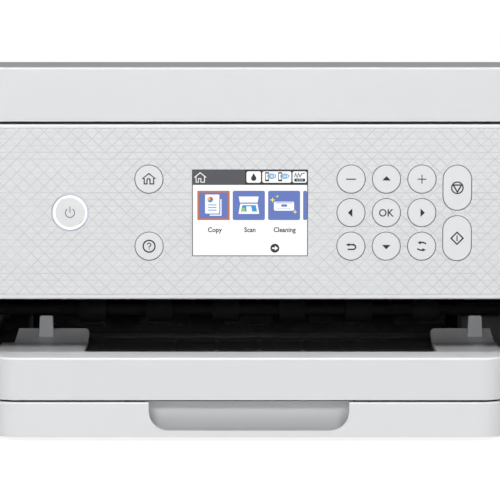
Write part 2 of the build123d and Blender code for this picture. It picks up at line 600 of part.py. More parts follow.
for name, (x, z) in ROUND_KEYS.items():
    save(key(round_key(x, z), round_key(x, z, KEY_R + 0.9)), name)
for name, (x, z) in PILL_KEYS.items():
    save(key(pill_key(x, z), pill_key(x, z, 0.9)), name)
save(key(round_key(*POWER_XZ, POWER_R), round_key(*POWER_XZ, POWER_R)), "key_power")

# ---------------------------------------------------------------- output tray, in two stages
STRIP_BACK_Y = -147.5
WING_BACK_Y, RAMP_BACK_Y, RAMP_Z = -107.0, -93.0, 48.6
LEFT_WING_X, RIGHT_WING_X = (-122.9, -84.4), (128.6, 95.7)  # outer and inner edge of each
TAB_X = (PATH_X - 112.2, PATH_X + 113.4)
SHEET_T = 2.0
TAB_TOP_Z = 55.9
STOP_AXIS = (STRIP_BACK_Y + 3.0, 38.6)


def wing_ramp(outer, inner):
    """The raised back of one wing: a concave ramp that leans in outside and is rounded over inside."""
    top = TRAY_Z[1]
    with BuildPart() as ramp:
        with BuildSketch(Plane.YZ.offset(min(outer, inner))) as profile:
            with BuildLine():
                ThreePointArc((WING_BACK_Y, top), (WING_BACK_Y + 8.0, top + 2.5), (RAMP_BACK_Y, RAMP_Z))
                Polyline(
                    (RAMP_BACK_Y, RAMP_Z),
                    (RAMP_BACK_Y, RAMP_Z - SHEET_T),
                    (WING_BACK_Y + 1.0, top - SHEET_T),
                    (WING_BACK_Y - 4.0, top - SHEET_T),
                    (WING_BACK_Y - 4.0, top),
                    (WING_BACK_Y, top),
                )
            make_face()
        extrude(profile.sketch, amount=abs(inner - outer))
        lean = 1.3 if inner > outer else -1.3
        with BuildSketch() as face:
            with BuildLine():
                side = [(outer, 30), (outer, top), (outer + lean, RAMP_Z)]
                Polyline(*side, (inner, RAMP_Z), (inner, 30), close=True)
            make_face()
            fillet(face.vertices().sort_by_distance((inner, RAMP_Z, 0))[0], 2.4)
        front_prism(face.sketch, (WING_BACK_Y - 6, RAMP_BACK_Y + 1), Mode.INTERSECT)
    return ramp.part


wing_ramps = [wing_ramp(*LEFT_WING_X), wing_ramp(*RIGHT_WING_X)]
with BuildPart() as output_tray:
    slab(TRAY_HALF_W, (FRONT_Y, FRONT_Y + 100), TRAY_Z, TRAY_CORNER)
    block((-200, 200), (WING_BACK_Y, 0), (0, 60), Mode.SUBTRACT)
    fillet(output_tray.edges().group_by(Axis.Z)[-1].filter_by(GeomType.LINE).sort_by(Axis.Y)[0], 1.2)
    inner_y = (FRONT_Y + WALL, FRONT_Y + 120)
    slab(TRAY_HALF_W - WALL, inner_y, (0, TRAY_Z[1] - SHEET_T), TRAY_CORNER - WALL, Mode.SUBTRACT)
    block((-200, 200), (-131, 0), (0, 24.5), Mode.SUBTRACT)  # clears the floor of the exit chamber
    with BuildSketch(Plane.XY.offset(30)) as recess:
        with Locations(((LEFT_WING_X[1] + RIGHT_WING_X[1]) / 2, STRIP_BACK_Y + 30)):
            RectangleRounded(RIGHT_WING_X[1] - LEFT_WING_X[1], 60, 5.5)
    extrude(recess.sketch, amount=20, mode=Mode.SUBTRACT)
    add(wing_ramps)
    for x in TAB_X:  # upright guides at the edges of the paper
        with BuildSketch() as tab:
            with BuildLine():
                low, high = TRAY_Z[1] + 2.3, TAB_TOP_Z
                Polyline((x - 3.85, low), (x - 3.35, high), (x + 3.35, high), (x + 3.85, low), close=True)
            make_face()
            fillet(tab.vertices().group_by(Axis.Y)[-1], 0.9)
        front_prism(tab.sketch, (WING_BACK_Y + 7.5, WING_BACK_Y + 10.5))
    for x in (PATH_X - 33, PATH_X + 30):  # bearings of the paper stop
        block((x, x + 3), (STRIP_BACK_Y - 2.0, STRIP_BACK_Y + 0.5), (STOP_AXIS[1] - 2, TRAY_Z[1] - 1.9))
        block((x, x + 3), (STRIP_BACK_Y, STOP_AXIS[0] + 2), (STOP_AXIS[1] - 2, STOP_AXIS[1] + 2))
        rod_x((x - 1, x + 4), STOP_AXIS, 1.1 + HINGE_GAP, Mode.SUBTRACT)
save(output_tray.part, "output_tray")

with BuildPart() as paper_stop:  # flap that flips up behind the front strip
    flap_y, flap_z = (STOP_AXIS[0] + 0.8, STOP_AXIS[0] + 22), (STOP_AXIS[1] - 0.5, STOP_AXIS[1] + 1.0)
    block((PATH_X - 28, PATH_X + 28), flap_y, flap_z)
    rod_x((PATH_X - 34, PATH_X + 34), STOP_AXIS, 1.1)
save(paper_stop.part, "paper_stop")

INNER_Z = (37.5, 39.5)
INNER_FRONT_Y, INNER_BACK_Y = -141.5, -76.0
with BuildPart() as inner_tray:  # dark ribbed stage behind the recess, notched round the paper stop
    block((PATH_X - 112, PATH_X + 112), (INNER_FRONT_Y, INNER_BACK_Y), INNER_Z)
    rib_y, rib_z = (INNER_FRONT_Y + 0.5, INNER_BACK_Y - 1), (INNER_Z[1] - 0.5, INNER_Z[1] + 0.6)
    for rib in range(-2, 3):
        rib_x = PATH_X + 22.6 * rib
        block((rib_x - 1.2, rib_x + 1.2), rib_y, rib_z)
    block((PATH_X - 29.5, PATH_X + 29.5), (INNER_FRONT_Y - 5, STOP_AXIS[0] + 23.5), (30, 45), Mode.SUBTRACT)
    for x in (PATH_X - 112, PATH_X + 110):
        block((x, x + 2), (INNER_FRONT_Y, INNER_BACK_Y), (24.5, INNER_Z[0]))
save(inner_tray.part, "inner_tray")

# ---------------------------------------------------------------- paper cassette
FLOOR_Z = (4.8, 6.6)
CASSETTE_BACK_Y = 126.0
NOTCH_HALF_W, NOTCH_LOW_Z, NOTCH_R = 50.1, 5.9, 10.0
NOTCH_BACK_Y = FRONT_Y + 7.0  # face of the wall behind the finger notch
with BuildPart() as paper_cassette:
    slab(TRAY_HALF_W, (FRONT_Y, FRONT_Y + 60), CASSETTE_Z, TRAY_CORNER)
    block((-200, 200), (-159.5, 0), (0, 60), Mode.SUBTRACT)
    fillet(paper_cassette.edges().group_by(Axis.Z)[-1].filter_by(GeomType.LINE).sort_by(Axis.Y)[0], 1.0)
    inner_y = (FRONT_Y + WALL, FRONT_Y + 60)
    slab(TRAY_HALF_W - WALL, inner_y, (FLOOR_Z[1], 60), TRAY_CORNER - WALL, Mode.SUBTRACT)
    block((-200, 200), (FRONT_Y + 6, 0), (0, FLOOR_Z[0]), Mode.SUBTRACT)
    with BuildSketch() as notch:
        with Locations((0, NOTCH_LOW_Z + 20)):
            RectangleRounded(2 * NOTCH_HALF_W, 40, NOTCH_R)
    front_prism(notch.sketch, (FRONT_Y - 1, NOTCH_BACK_Y + 2.3), Mode.SUBTRACT)
    block((-122, 122), (-165, CASSETTE_BACK_Y), FLOOR_Z)
    wall_y = (NOTCH_BACK_Y, NOTCH_BACK_Y + 2.5)
    block((-NOTCH_HALF_W - 2, NOTCH_HALF_W + 2), wall_y, (FLOOR_Z[0], CASSETTE_Z[1] - 0.3))
    for x in (-NOTCH_HALF_W - 2, NOTCH_HALF_W):
        block((x, x + 2), (FRONT_Y + 2, wall_y[1]), (NOTCH_LOW_Z + NOTCH_R, CASSETTE_Z[1] - 0.3))
    block((-NOTCH_HALF_W, NOTCH_HALF_W), (FRONT_Y + 2, wall_y[1]), (CASSETTE_Z[0], NOTCH_LOW_Z))
    for x in (-124, 122):
        block((x, x + 2), (-162, CASSETTE_BACK_Y), (FLOOR_Z[0], 18.8))
    block((-122, 122), (CASSETTE_BACK_Y - 2, CASSETTE_BACK_Y), (FLOOR_Z[0], 18.8))
    for x in (-98, -70, 66, 94):  # ribs the sheets lie on, clear of the racks
        block((x, x + 3), (-150, RACK_Y - 18), (FLOOR_Z[1], 9.6))
        block((x, x + 3), (RACK_Y + 18, 112), (FLOOR_Z[1], 9.6))
    with Locations((PATH_X, RACK_Y, 7.9)):
        Cylinder(2.0, 2.8)
save(paper_cassette.part, "paper_cassette")

GUIDE_MODULE, GUIDE_TEETH = 1.0, 16
GUIDE_R = GUIDE_MODULE * GUIDE_TEETH / 2
GUIDE_Z = (6.9, 9.1)
PAPER_HALF_W = 108.0
with BuildPart() as guide_pinion:
    outline = spur_gear(GUIDE_TEETH, GUIDE_MODULE)
    extrude(Pos(PATH_X, RACK_Y, GUIDE_Z[0]) * Rot(0, 0, 90) * outline, amount=GUIDE_Z[1] - GUIDE_Z[0])
    with Locations((PATH_X, RACK_Y, 8)):
        Cylinder(2.0 + HINGE_GAP, 6, mode=Mode.SUBTRACT)
save(guide_pinion.part, "guide_pinion")


def edge_guide(side):
    """A paper edge guide with the toothed rack that ties it to its twin."""
    pitch = math.pi * GUIDE_MODULE
    wall = PATH_X + side * PAPER_HALF_W
    rack_side = -side  # the left guide's rack runs behind the pinion, the right one's in front
    pitch_y = RACK_Y + rack_side * GUIDE_R
    reach = PATH_X - side * 14
    with BuildPart() as guide:
        block(sorted((wall, wall + side * 2)), (RACK_Y - 60, RACK_Y + 60), (9.8, 18.4))
        block(sorted((wall + side * 2, wall + side * 6)), (RACK_Y - 50, RACK_Y + 50), (9.8, 11.2))
        root_y, back_y = pitch_y + rack_side * 1.15, pitch_y + rack_side * 6
        block(sorted((wall + side * 2, reach)), sorted((root_y, back_y)), GUIDE_Z)
        block(sorted((wall, wall + side * 2)), sorted((root_y, back_y)), (GUIDE_Z[0], 10))
        for tooth in range(24):  # the pinion has a tooth on this line, so the rack has a gap there
            tooth_x = PATH_X + side * pitch * (tooth - 3.5)
            with BuildSketch(Plane.XY.offset(GUIDE_Z[0])) as profile:
                with BuildLine():
                    tip_y = pitch_y - rack_side * 0.85
                    root = root_y + rack_side * 0.3
                    Polyline((tooth_x - 0.85, root), (tooth_x - 0.32, tip_y), (tooth_x + 0.32, tip_y),
                             (tooth_x + 0.85, root), close=True)
                make_face()
            extrude(profile.sketch, amount=GUIDE_Z[1] - GUIDE_Z[0])
    return guide.part


save(edge_guide(-1), "edge_guide_left")
save(edge_guide(1), "edge_guide_right")
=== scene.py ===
"""Materials, printed marks, lights and camera for the all-in-one inkjet printer, around its CAD frame."""

import json
import math

import bmesh
import bpy
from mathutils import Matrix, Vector


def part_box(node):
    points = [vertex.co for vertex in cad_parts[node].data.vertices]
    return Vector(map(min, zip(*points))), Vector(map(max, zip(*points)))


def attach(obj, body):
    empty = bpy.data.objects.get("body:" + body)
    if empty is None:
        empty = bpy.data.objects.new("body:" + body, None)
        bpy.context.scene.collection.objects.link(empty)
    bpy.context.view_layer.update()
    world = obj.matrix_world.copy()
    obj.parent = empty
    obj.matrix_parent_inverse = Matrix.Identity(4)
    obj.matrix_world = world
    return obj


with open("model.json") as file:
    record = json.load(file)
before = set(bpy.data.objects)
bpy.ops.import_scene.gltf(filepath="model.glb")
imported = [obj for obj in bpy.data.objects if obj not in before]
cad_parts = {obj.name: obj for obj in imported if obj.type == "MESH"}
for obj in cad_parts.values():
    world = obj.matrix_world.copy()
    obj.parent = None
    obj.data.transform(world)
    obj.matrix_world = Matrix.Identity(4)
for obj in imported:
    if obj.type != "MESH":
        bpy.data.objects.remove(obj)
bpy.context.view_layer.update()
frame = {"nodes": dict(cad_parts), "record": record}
NODES = frame["nodes"]
MM = 0.001


# ---------------------------------------------------------------- node-tree helper
class Finish:
    """Short calls that build one procedural material around a Principled shader."""

    def __init__(self, name, color=(0.8, 0.8, 0.8), rough=0.5, metallic=0.0):
        self.mat = bpy.data.materials.new(name)
        self.mat.use_nodes = True
        self.tree = self.mat.node_tree
        self.bsdf = self.tree.nodes["Principled BSDF"]
        self.set("Base Color", (*color, 1.0))
        self.set("Roughness", rough)
        self.set("Metallic", metallic)
        self.coords = self.tree.nodes.new("ShaderNodeTexCoord").outputs["Object"]

    def set(self, socket, value):
        """Sets one of the shader's own sockets to a constant."""
        self.bsdf.inputs[socket].default_value = value

    def drive(self, socket, source):
        """Links a node's output to one of the shader's sockets."""
        self.tree.links.new(source, self.bsdf.inputs[socket])

    def feed(self, socket, value):
        """Links an output to any node's socket, or sets the socket to a constant."""
        if isinstance(value, bpy.types.NodeSocket):
            self.tree.links.new(value, socket)
        else:
            socket.default_value = value

    def math(self, op, a, b=0.0, c=0.0, clamp=False):
        node = self.tree.nodes.new("ShaderNodeMath")
        node.operation, node.use_clamp = op, clamp
        for socket, value in zip(node.inputs, (a, b, c)):
            self.feed(socket, value)
        return node.outputs[0]

    def scaled(self, factors):
        """Object coordinates multiplied along each axis."""
        node = self.tree.nodes.new("ShaderNodeMapping")
        self.feed(node.inputs["Vector"], self.coords)
        node.inputs["Scale"].default_value = factors
        return node.outputs[0]

    def moved(self, offset):
        """Object coordinates with an offset, which reads the same noise in another place."""
        node = self.tree.nodes.new("ShaderNodeMapping")
        self.feed(node.inputs["Vector"], self.coords)
        node.inputs["Location"].default_value = offset
        return node.outputs[0]

    def axes(self, vector=None):
        """The X, Y and Z of a vector, which is the object coordinates unless another is given."""
        node = self.tree.nodes.new("ShaderNodeSeparateXYZ")
        self.feed(node.inputs[0], vector or self.coords)
        return node.outputs

    def within(self, *spans):
        """1 inside a box given as its (low, high) in X, Y and Z, and 0 outside it."""
        inside = 1.0
        for value, (low, high) in zip(self.axes(), spans):
            inside = self.math("MULTIPLY", inside, self.math("GREATER_THAN", value, low))
            inside = self.math("MULTIPLY", inside, self.math("LESS_THAN", value, high))
        return inside

    def noise(self, scale, detail=2.0, vector=None, rough=0.5):
        node = self.tree.nodes.new("ShaderNodeTexNoise")
        self.feed(node.inputs["Vector"], vector or self.coords)
        node.inputs["Scale"].default_value = scale
        node.inputs["Detail"].default_value = detail
        node.inputs["Roughness"].default_value = rough
        return node.outputs[0]

    def span(self, value, low, high, out_low=0.0, out_high=1.0):
        """A value mapped from one range to another, and held at the ends."""
        node = self.tree.nodes.new("ShaderNodeMapRange")
        for socket, item in zip(node.inputs, (value, low, high, out_low, out_high)):
            self.feed(socket, item)
        return node.outputs[0]

    def mix(self, factor, a, b):
        node = self.tree.nodes.new("ShaderNodeMix")
        node.data_type = "RGBA"
        self.feed(node.inputs[0], factor)
        for socket, value in ((node.inputs[6], a), (node.inputs[7], b)):
            self.feed(socket, value if isinstance(value, bpy.types.NodeSocket) else (*value, 1.0))
        return node.outputs[2]

    def bump(self, height, strength, distance):
        node = self.tree.nodes.new("ShaderNodeBump")
        node.inputs["Strength"].default_value = strength
        node.inputs["Distance"].default_value = distance
        self.feed(node.inputs["Height"], height)
        self.drive("Normal", node.outputs[0])


def tint(color, factor):
    return tuple(min(1.0, max(0.0, c * factor)) for c in color)


# ---------------------------------------------------------------- materials
def moulded(finish, grain, rough=0.36, strength=0.05):
    """Gives a plastic its patchy gloss and fine spark-eroded grain."""
    finish.drive("Roughness", finish.span(finish.noise(60.0, 3.0), 0.3, 0.7, rough - 0.05, rough + 0.06))
    finish.bump(grain, strength, 0.00006)


def plastic(name, color, rough=0.42, grain=1400.0, bump=0.12, drift=0.03, coat=0.0):
    """Moulded plastic with a slow colour drift, and a satin coat if one is asked for."""
    finish = Finish(name, color, rough)
    slow = finish.noise(9.0, 3.0)
    fine = finish.noise(grain, 2.0)
    mottled = finish.math("ADD", finish.math("MULTIPLY", slow, 0.7), finish.math("MULTIPLY", fine, 0.3))
    mottled = finish.span(mottled, 0.3, 0.7)
    finish.drive("Base Color", finish.mix(mottled, tint(color, 1 - drift), tint(color, 1 + drift)))
    moulded(finish, fine, rough, bump)
    if coat:
        finish.set("Coat Weight", coat)
        finish.set("Coat Roughness", 0.12)
    return finish.mat


def metal(name, color, rough, stretch, depth=0.2):
    """Bare metal with fine lines along one axis."""
    finish = Finish(name, color, rough, 1.0)
    lines = finish.noise(900.0, 4.0, finish.scaled(stretch), 0.7)
    finish.drive("Base Color", finish.mix(lines, tint(color, 0.82), tint(color, 1.1)))
    finish.drive("Roughness", finish.span(lines, 0.3, 0.7, rough - 0.08, rough + 0.12))
    finish.bump(lines, depth, 0.00004)
    return finish.mat


def rubber(name, color):
    """Dull moulded rubber."""
    finish = Finish(name, color, 0.78)
    fine = finish.noise(1800.0, 3.0)
    finish.drive("Base Color", finish.mix(fine, tint(color, 0.7), tint(color, 1.5)))
    finish.drive("Roughness", finish.span(finish.noise(120.0), 0.3, 0.7, 0.7, 0.88))
    finish.bump(fine, 0.35, 0.00008)
    return finish.mat


def coated_steel():
    """Black coated sheet steel, a little uneven in tone and gloss."""
    finish = Finish("coated_steel", (0.03, 0.03, 0.032), 0.42, 1.0)
    cells = finish.tree.nodes.new("ShaderNodeTexVoronoi")
    finish.feed(cells.inputs["Vector"], finish.coords)
    cells.inputs["Scale"].default_value = 140.0
    grey = finish.tree.nodes.new("ShaderNodeRGBToBW")
    finish.feed(grey.inputs[0], cells.outputs["Color"])
    finish.drive("Base Color", finish.mix(grey.outputs[0], (0.02, 0.02, 0.022), (0.035, 0.035, 0.037)))
    finish.drive("Roughness", finish.span(grey.outputs[0], 0.0, 1.0, 0.28, 0.5))
    finish.bump(finish.noise(700.0, 3.0), 0.1, 0.00005)
    return finish.mat


def circuit(name="circuit_board", board=None):
    """Green solder mask over etched tracks.

    Where board gives the board's front and back in Y, what is in front of it is black, as chips are,
    and what is behind it is bare metal, as its socket is.
    """
    finish = Finish(name, (0.03, 0.16, 0.07), 0.3)
    brick = finish.tree.nodes.new("ShaderNodeTexBrick")
    finish.feed(brick.inputs["Vector"], finish.scaled((1.0, 0.0, 1.0)))
    brick.inputs["Scale"].default_value = 300.0
    brick.inputs["Mortar Size"].default_value = 0.05
    patches = finish.span(finish.noise(90.0, 1.0), 0.48, 0.52)
    lines = finish.math("MULTIPLY", brick.outputs["Fac"], patches)
    look = finish.mix(lines, (0.02, 0.13, 0.06), (0.06, 0.3, 0.13))
    if board:
        y = finish.axes()[1]
        socket = finish.math("GREATER_THAN", y, board[1])
        look = finish.mix(finish.math("LESS_THAN", y, board[0]), look, (0.012, 0.012, 0.013))
        look = finish.mix(socket, look, (0.5, 0.5, 0.52))
        finish.drive("Metallic", finish.math("MULTIPLY", socket, 0.9))
    finish.drive("Base Color", look)
    finish.drive("Roughness", finish.span(finish.noise(200.0), 0.3, 0.7, 0.22, 0.4))
    finish.bump(lines, 0.4, 0.00005)
    return finish.mat


def patterned(name="patterned_film", base=(0.74, 0.748, 0.762)):
    """White panel film printed with a faint grid of triangles whose lines come and go."""
    finish = Finish(name, base, 0.36)
    x, _, z = finish.axes()
    row_pitch, column_pitch, lift, width = 3.37 * MM, 6.82 * MM, 0.3 * MM, 0.34 * MM
    slant_pitch = column_pitch * 0.7  # between two sloping lines, square to them
    height = finish.math("ADD", z, lift)
    rows = finish.math("DIVIDE", height, row_pitch)
    across = finish.math("DIVIDE", x, column_pitch)
    slope = finish.math("DIVIDE", height, 2 * row_pitch)
    rising = finish.math("SUBTRACT", across, slope)
    falling = finish.math("ADD", across, slope)

    def line(value, pitch):
        """1 on the line through each whole number, 0 away from it."""
        part = finish.math("FRACT", finish.math("ADD", value, 0.5))
        away = finish.math("ABSOLUTE", finish.math("SUBTRACT", part, 0.5))
        return finish.span(finish.math("MULTIPLY", away, pitch), 0.25 * width, width, 1.0, 0.0)

    def strength(scale, offset, low):
        """How strongly the lines are printed from place to place, from low to 1."""
        return finish.span(finish.noise(scale, 2.0, finish.moved(offset)), 0.36, 0.62, low, 1.0)

    row_noise = finish.tree.nodes.new("ShaderNodeTexWhiteNoise")
    row_noise.noise_dimensions = "1D"
    finish.feed(row_noise.inputs["W"], finish.math("ROUND", rows))
    row_strength = finish.span(row_noise.outputs["Value"], 0.1, 0.8, 0.55, 1.0)
    row_strength = finish.math("MULTIPLY", row_strength, strength(40.0, (3, 1, 2), 0.55))
    level = finish.math("MULTIPLY", line(rows, row_pitch), row_strength)
    up = finish.math("MULTIPLY", line(rising, slant_pitch), strength(55.0, (7, 4, 1), 0.42))
    down = finish.math("MULTIPLY", line(falling, slant_pitch), strength(55.0, (1, 9, 5), 0.42))
    drawn = finish.math("MAXIMUM", level, finish.math("MAXIMUM", up, down))

    cell = finish.tree.nodes.new("ShaderNodeCombineXYZ")
    for socket, value in zip(cell.inputs, (rising, falling, rows)):
        finish.feed(socket, finish.math("FLOOR", value))
    shade = finish.tree.nodes.new("ShaderNodeTexWhiteNoise")
    finish.feed(shade.inputs["Vector"], cell.outputs[0])
    facet = finish.mix(shade.outputs["Value"], tint(base, 0.978), tint(base, 1.022))
    finish.drive("Base Color", finish.mix(finish.math("MULTIPLY", drawn, 0.8), facet, (0.52, 0.53, 0.545)))
    finish.drive("Roughness", finish.span(drawn, 0.0, 1.0, 0.34, 0.46))
    finish.bump(drawn, 0.15, -0.00002)
    return finish.mat


def casing(finish, base):
    """The casing's white with its slow drift in tone."""
    return finish.mix(finish.noise(9.0), tint(base, 0.994), tint(base, 1.006))


def tray_painted_light(name, base):
    """The casing's white with painted light: the faces that look up are paler, a painted highlight where top
    light falls, and the other faces a little darker, painted shade.
    """
    finish = Finish(name, base, 0.36)
    up = finish.axes(finish.tree.nodes.new("ShaderNodeTexCoord").outputs["Normal"])[2]
    painted_shade_sides = finish.mix(finish.noise(9.0), tint(base, 0.965), tint(base, 0.98))
    # painted light: faces that look up are made 16% paler, the others a little darker than the casing
    finish.drive("Base Color", finish.mix(finish.span(up, 0.4, 0.95), painted_shade_sides, tint(base, 1.16)))
    moulded(finish, finish.noise(1500.0))
    return finish.mat


def scanner_plastic(name, base):
    """The casing's white outside, black inside the well under the glass."""
    finish = Finish(name, base, 0.36)
    well = finish.within((-186.2 * MM, 186.2 * MM), (-128.0 * MM, 140.0 * MM), (130.0 * MM, 162.9 * MM))
    finish.drive("Base Color", finish.mix(well, casing(finish, base), (0.016, 0.016, 0.017)))
    moulded(finish, finish.noise(1500.0))
    return finish.mat


def cassette_plastic(name, base):
    """White front cover with a matt finger notch painted with shade, darker towards its bottom, and a black
    drawer body behind it.
    """
    finish = Finish(name, base, 0.36)
    x, y, z = finish.axes()
    notch_side, notch_front, notch_back, cover_back = 53.0 * MM, -172.6 * MM, -160.0 * MM, -158.0 * MM
    notch = finish.span(finish.math("ABSOLUTE", x), notch_side, notch_side - 0.4 * MM)
    notch = finish.math("MULTIPLY", notch, finish.span(y, notch_front, notch_front + 1.4 * MM))
    notch = finish.math("MULTIPLY", notch, finish.span(y, notch_back, notch_back - 1.0 * MM))
    # painted shade in the notch's recess: nearly the cover's white at its top, half of it at its bottom
    notch_painted_shade = finish.mix(finish.span(z, 6.0 * MM, 17.0 * MM), tint(base, 0.5), tint(base, 0.97))
    cover = finish.mix(notch, casing(finish, base), notch_painted_shade)
    body = finish.mix(finish.noise(9.0), (0.011, 0.011, 0.012), (0.013, 0.013, 0.014))
    finish.drive("Base Color", finish.mix(finish.math("GREATER_THAN", y, cover_back), cover, body))
    finish.drive("Roughness", finish.span(notch, 0.0, 1.0, 0.36, 0.6))
    finish.bump(finish.noise(1500.0), 0.05, 0.00006)
    return finish.mat


def foam():
    """The document mat's white foam."""
    finish = Finish("white_foam", (0.84, 0.84, 0.83), 0.85)
    cells = finish.noise(900.0, 4.0)
    finish.drive("Base Color", finish.mix(cells, (0.8, 0.8, 0.79), (0.88, 0.88, 0.87)))
    finish.bump(cells, 0.3, 0.0001)
    finish.set("Sheen Weight", 0.15)
    return finish.mat


def clear_glass():
    """The platen's glass, mostly see-through, with a faint smear in its gloss."""
    finish = Finish("clear_glass", (0.92, 0.97, 0.95), 0.03)
    finish.drive("Roughness", finish.span(finish.noise(40.0, 3.0), 0.3, 0.7, 0.02, 0.05))
    finish.set("Alpha", 0.15)
    finish.set("IOR", 1.52)
    return finish.mat


def ink_print(name, color, rough=0.5):
    """Printed ink: nearly flat, with a little unevenness in density."""
    finish = Finish(name, color, rough)
    finish.drive("Base Color", finish.mix(finish.noise(700.0, 3.0), tint(color, 0.9), tint(color, 1.12)))
    return finish.mat


def lit(name, color, strength):
    """One colour of a lit display or light guide."""
    finish = Finish(name, (0.02, 0.02, 0.02), 0.25)
    glass = finish.mix(finish.noise(2600.0, 1.0), (0.012, 0.012, 0.013), (0.02, 0.02, 0.022))
    finish.drive("Base Color", glass)
    finish.set("Emission Color", (*color, 1.0))
    finish.set("Emission Strength", strength)
    return finish.mat


WHITE = (0.775, 0.782, 0.797)
FINISHES = {
    "white_casing": plastic("white_casing", WHITE, 0.36, 1500.0, 0.05, 0.006),
    "patterned_skin": patterned(),
    "key_cap": plastic("key_cap", (0.77, 0.777, 0.79), 0.36, 1500.0, 0.04, 0.005),
    "light_ring": lit("light_ring", (1.0, 0.99, 1.0), 1.15),
    "display": plastic("display_window", (0.02, 0.02, 0.023), 0.12, 800.0, 0.01),
    "circuit_board": circuit(),
    "black_plastic": plastic("black_plastic", (0.005, 0.005, 0.0055), 0.5, 1100.0, 0.25, 0.2),
    "grey_plastic": plastic("grey_plastic", (0.17, 0.17, 0.18), 0.5, 1100.0, 0.25, 0.08),
    "sheet_steel": coated_steel(),
    "ground_steel": metal("ground_steel", (0.66, 0.67, 0.69), 0.18, (12.0, 1.0, 1.0), 0.05),
    "motor_can": metal("motor_can", (0.52, 0.53, 0.55), 0.34, (1.0, 8.0, 1.0), 0.12),
    "brass": metal("turned_brass", (0.74, 0.54, 0.25), 0.28, (1.0, 9.0, 1.0), 0.15),
    "belt_rubber": rubber("belt_rubber", (0.02, 0.02, 0.021)),
    "roller_rubber": rubber("roller_rubber", (0.018, 0.018, 0.019)),
    "foot_rubber": rubber("foot_rubber", (0.04, 0.04, 0.042)),
    "acetal": plastic("acetal", (0.72, 0.71, 0.66), 0.35, 900.0, 0.08, 0.03),
    "platen_glass": clear_glass(),
    "white_foam": foam(),
    "screw_steel": metal("screw_steel", (0.2, 0.2, 0.21), 0.4, (1.0, 1.0, 6.0), 0.2),
    "ink_black_label": plastic("ink_black_shell", (0.02, 0.02, 0.022), 0.3, 1200.0, 0.06),
    "ink_cyan_label": plastic("ink_cyan_shell", (0.01, 0.28, 0.55), 0.3, 1200.0, 0.06),
    "ink_magenta_label": plastic("ink_magenta_shell", (0.55, 0.015, 0.2), 0.3, 1200.0, 0.06),
    "ink_yellow_label": plastic("ink_yellow_shell", (0.83, 0.6, 0.01), 0.3, 1200.0, 0.06),
}
STAGE_GREY = plastic("stage_grey", (0.16, 0.16, 0.165), 0.5, 1100.0, 0.25, 0.1)
SPECIAL = {  # nodes that don't take their slot's finish as it is
    "inner_tray": STAGE_GREY,
    "paper_stop": STAGE_GREY,
    # painted shade: the lid's white is made a little darker than the casing's, for the dim light on the lid's
    # top
    "document_cover": plastic("lid_white_painted_shade", tint(WHITE, 0.945), 0.36, 1500.0, 0.04, 0.006, coat=0.5),
    # the output tray has painted light: paler tops and slightly darker other faces
    "output_tray": tray_painted_light("tray", WHITE),
    "scanner_housing": scanner_plastic("scanner", WHITE),
    "paper_cassette": cassette_plastic("cassette", WHITE),
    "main_board": circuit("main_board", board=(149.3 * MM, 151.1 * MM)),
}
for entry in frame["record"]["subparts"]:
    shell = NODES[entry["node"]]
    shell.data.materials.clear()
    shell.data.materials.append(SPECIAL.get(entry["node"]) or FINISHES[entry["material_slot"]])

# ---------------------------------------------------------------- printed marks
PRINT_GREY = ink_print("print_dark_grey", (0.012, 0.012, 0.014))
PRINT_SOFT = ink_print("print_mid_grey", (0.11, 0.11, 0.12))


